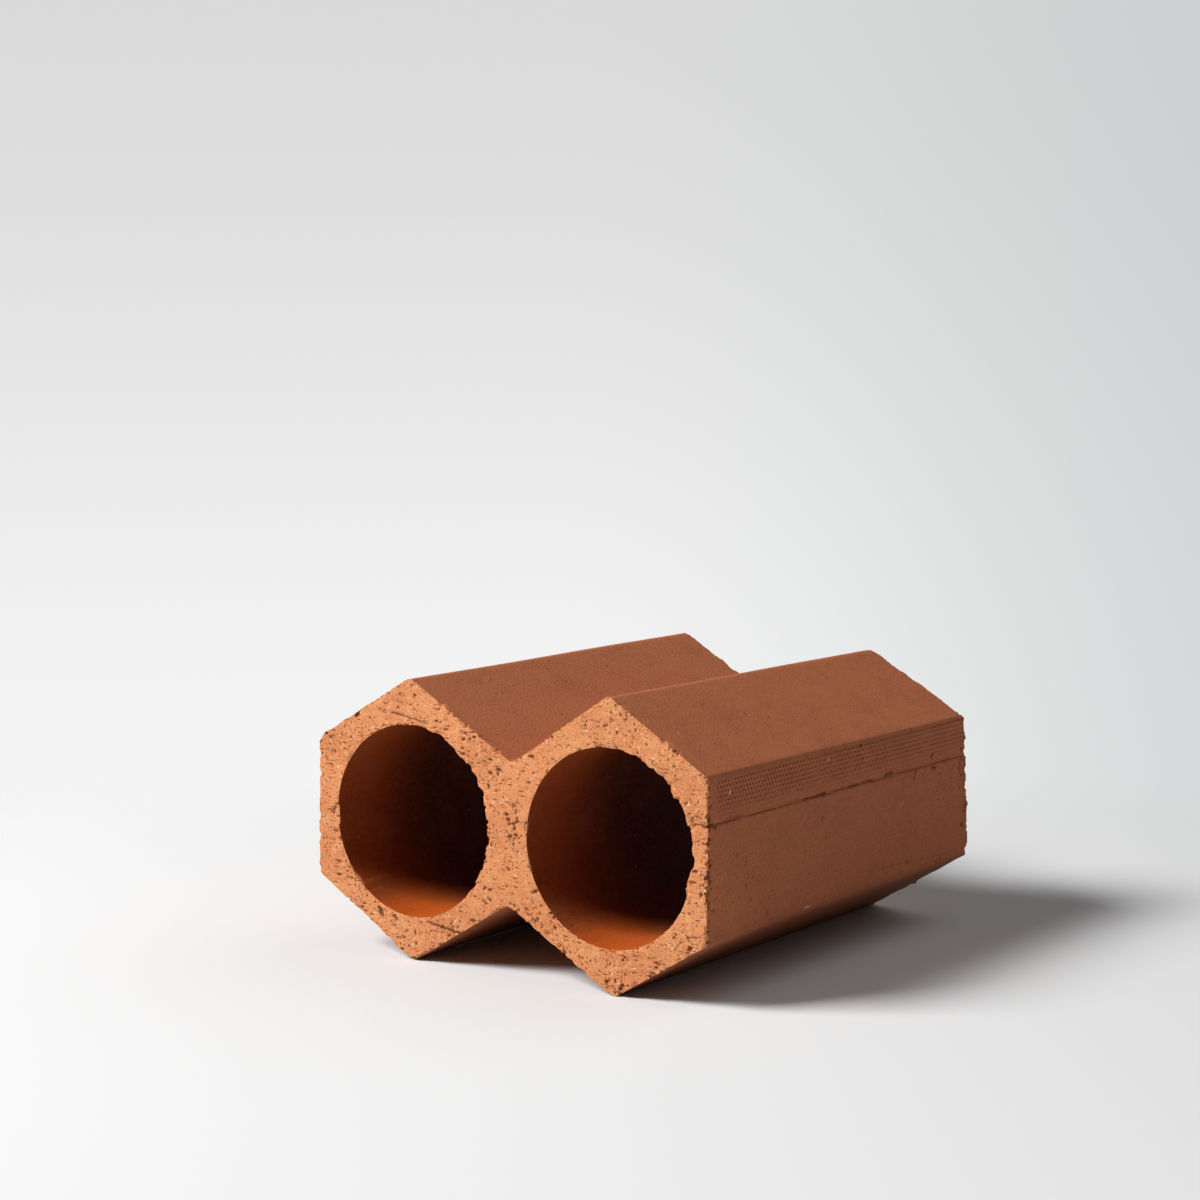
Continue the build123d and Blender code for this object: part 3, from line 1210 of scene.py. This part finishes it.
def bore_skin_terracotta(colours, sizes):
    """Fired terracotta drawn over the die's core: closed, smooth and more orange than outside, with painted
    shade deep in the bores and a painted pool of light on their floors near the ends.
    """
    material, tree = new_material("bore_skin_terracotta")
    axes = add(tree, "SeparateXYZ", (add(tree, "TexCoord").outputs["Object"],))
    from_middle = add(tree, "Math", (axes.outputs["Y"],), operation="ABSOLUTE")
    # The skin darkens between these distances from the middle, as painted shade deep in the bores, and a
    # painted pool of light lies on the lowest 9 mm
    mouth, dark = half_length - 15 * MM, half_length - 60 * MM
    inside = add(tree, "MapRange", (from_middle, mouth, dark), interpolation_type="SMOOTHSTEP")
    bottom = cell_centre_z - bore_radius
    floor_heights = (axes.outputs["Z"], bottom + 9 * MM, bottom)
    painted_floor_light = add(tree, "MapRange", floor_heights, interpolation_type="SMOOTHSTEP")
    coats = ((painted_floor_light, 1.0, colours.painted_bore_floor_light), (inside, 1.0, colours.painted_deep_bore_shade))
    skin, relief = closed_skin(tree, colours, coated(tree, colours.bore, coats), 0.35)
    torn, _ = torn_clay(tree, colours, sizes)
    bare = add(tree, "Attribute", attribute_name="torn").outputs["Fac"]
    fired_surface(tree, coated(tree, skin, ((bare, 1.0, torn),)), relief, 0.05, 0.75)
    return material


# Studio


def studio_paper(studio):
    """Seamless studio paper: matt and nearly white, and lost in the room some way behind the block."""
    material, tree = new_material("studio_paper")
    surface = add(tree, "BsdfDiffuse", (studio.paper,))
    clear = add(tree, "BsdfTransparent")
    place = add(tree, "TexCoord").outputs["Object"]
    away = add(tree, "VectorMath", (place, studio.paper_middle), operation="DISTANCE").outputs["Value"]
    faded = (away, studio.paper_fade, studio.paper_end)
    gone = add(tree, "MapRange", faded, interpolation_type="SMOOTHSTEP")
    ray = add(tree, "LightPath")
    seen = add(tree, "Math", (gone, ray.outputs["Is Camera Ray"]), operation="MULTIPLY")
    add(tree, "OutputMaterial", {"Surface": add(tree, "MixShader", (seen, surface, clear))})
    return material


def studio_room(studio):
    """The room: dark but for the fill behind on the right, and pale wherever a camera looks."""
    world = bpy.data.worlds.new("studio_room")
    world.use_nodes = True
    tree = world.node_tree
    tree.nodes.clear()
    way = add(tree, "TexCoord").outputs["Generated"]
    shares = []
    for toward, start, end, least, most in (
        ((0, 0, 1), -0.2, 0.12, 0, 1),
        (towards(studio.cool_turn, 0), -0.02, 0.29, 0, 0.8),
        (towards(studio.fill_turn, studio.fill_rise), 0.8, 0.98, studio.gloom, studio.fill),
    ):
        facing_it = add(tree, "VectorMath", (way, toward), operation="DOT_PRODUCT").outputs["Value"]
        ramp = (facing_it, start, end, least, most)
        shares.append(add(tree, "MapRange", ramp, interpolation_type="SMOOTHSTEP"))
    upward, cool, fill = shares
    coats = ((upward, 1.0, studio.wall_dim), (cool, 1.0, studio.wall_cool))
    seen = add(tree, "Background", (coated(tree, studio.wall_bright, coats), 1.0))
    light = add(tree, "Background", ((1, 1, 1), fill))
    ray = add(tree, "LightPath")
    direct = ray.outputs["Is Camera Ray"]
    for other in ("Is Glossy Ray", "Is Transmission Ray"):
        direct = add(tree, "Math", (direct, ray.outputs[other]), operation="MAXIMUM")
    add(tree, "OutputWorld", {"Surface": add(tree, "MixShader", (direct, light, seen))})
    return world


def towards(turn, rise):
    """The way from the block, turned to the right from straight in front of it and raised."""
    return Vector((math.sin(turn) * math.cos(rise), -math.cos(turn) * math.cos(rise), math.sin(rise)))


def facing(eye, forward, roll=0.0):
    """Matrix of a camera or lamp at eye that looks along forward."""
    forward = forward.normalized()
    right = forward.cross(Vector((0, 0, 1))).normalized()
    up = right.cross(forward)
    turned_right = math.cos(roll) * right + math.sin(roll) * up
    turned_up = math.cos(roll) * up - math.sin(roll) * right
    turn = Matrix((turned_right, turned_up, -forward)).transposed()
    return Matrix.Translation(eye) @ turn.to_4x4()


# Operators and panel


class CLAY_OT_screen_block(bpy.types.Operator):
    """Makes the skin of the block, with its wire-cut ends, broken edges and belt marks"""

    bl_idname = "clay.screen_block"
    bl_label = "Screen block"

    def execute(self, context):
        sizes, colours = context.scene.clay_sizes, context.scene.clay_colours
        skin = Skin(sizes, fine=1.0)
        finishes = (wire_cut_terracotta, die_skin_terracotta, bore_skin_terracotta)
        block = mesh_object("clay_screen_block", skin, [finish(colours, sizes) for finish in finishes])
        thin_out(block, sizes.triangles)
        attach(block, "root")
        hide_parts(NODE)
        return {"FINISHED"}


class CLAY_OT_studio(bpy.types.Operator):
    """Sets up the paper floor, the room, the softbox and the camera"""

    bl_idname = "clay.studio"
    bl_label = "Studio"

    def execute(self, context):
        scene, studio = context.scene, context.scene.clay_studio
        self.floor(studio)
        self.softbox(studio)
        self.camera(scene, studio)
        scene.world = studio_room(studio)
        scene.view_settings.view_transform = "Standard"
        return {"FINISHED"}

    def floor(self, studio):
        """A square of paper, with the block in its middle."""
        reach = studio.paper_reach
        corners = [(-reach, -reach, 0), (reach, -reach, 0), (reach, reach, 0), (-reach, reach, 0)]
        mesh = bpy.data.meshes.new("paper_floor")
        mesh.from_pydata(corners, [], [(0, 1, 2, 3)])
        mesh.materials.append(studio_paper(studio))
        new_object("paper_floor", mesh)

    def softbox(self, studio):
        """A square softbox high in front of the block, to the left of the camera."""
        way = towards(-studio.softbox_turn, studio.softbox_rise)
        lamp = bpy.data.lights.new("softbox", "AREA")
        lamp.shape = "SQUARE"
        lamp.size = studio.softbox_size
        lamp.energy = studio.softbox_power
        target = Vector((0, 0, cell_centre_z))
        softbox = new_object("softbox", lamp)
        softbox.matrix_world = facing(target + way * studio.softbox_distance, -way)

    def camera(self, scene, studio):
        """The photograph's view: from the front right, a little above the block, with a long lens."""
        lens = bpy.data.cameras.new("camera")
        lens.lens = studio.lens
        away = towards(studio.camera_turn, studio.camera_dip)
        scene.camera = new_object("camera", lens)
        scene.camera.matrix_world = facing(Vector(studio.camera_place), -away, studio.camera_roll)


class CLAY_PT_panel(bpy.types.Panel):
    """Lists the block's and the studio's steps"""

    bl_label = "Screen block"
    bl_idname = "CLAY_PT_panel"
    bl_space_type = "VIEW_3D"
    bl_region_type = "UI"
    bl_category = "Screen block"

    def draw(self, context):
        for step in STEPS:
            self.layout.operator(step.bl_idname)


GROUPS = {"clay_sizes": ClaySizes, "clay_colours": ClayColours, "clay_studio": StudioSettings}
STEPS = (CLAY_OT_studio, CLAY_OT_screen_block)
CLASSES = (*GROUPS.values(), *STEPS, CLAY_PT_panel)


def register():
    for kind in CLASSES:
        bpy.utils.register_class(kind)
    for name, group in GROUPS.items():
        setattr(bpy.types.Scene, name, bpy.props.PointerProperty(type=group))


def unregister():
    for name in GROUPS:
        delattr(bpy.types.Scene, name)
    for kind in reversed(CLASSES):
        bpy.utils.unregister_class(kind)


def main():
    register()
    bpy.ops.clay.studio()
    bpy.ops.clay.screen_block()


if __name__ == "__main__":
    main()
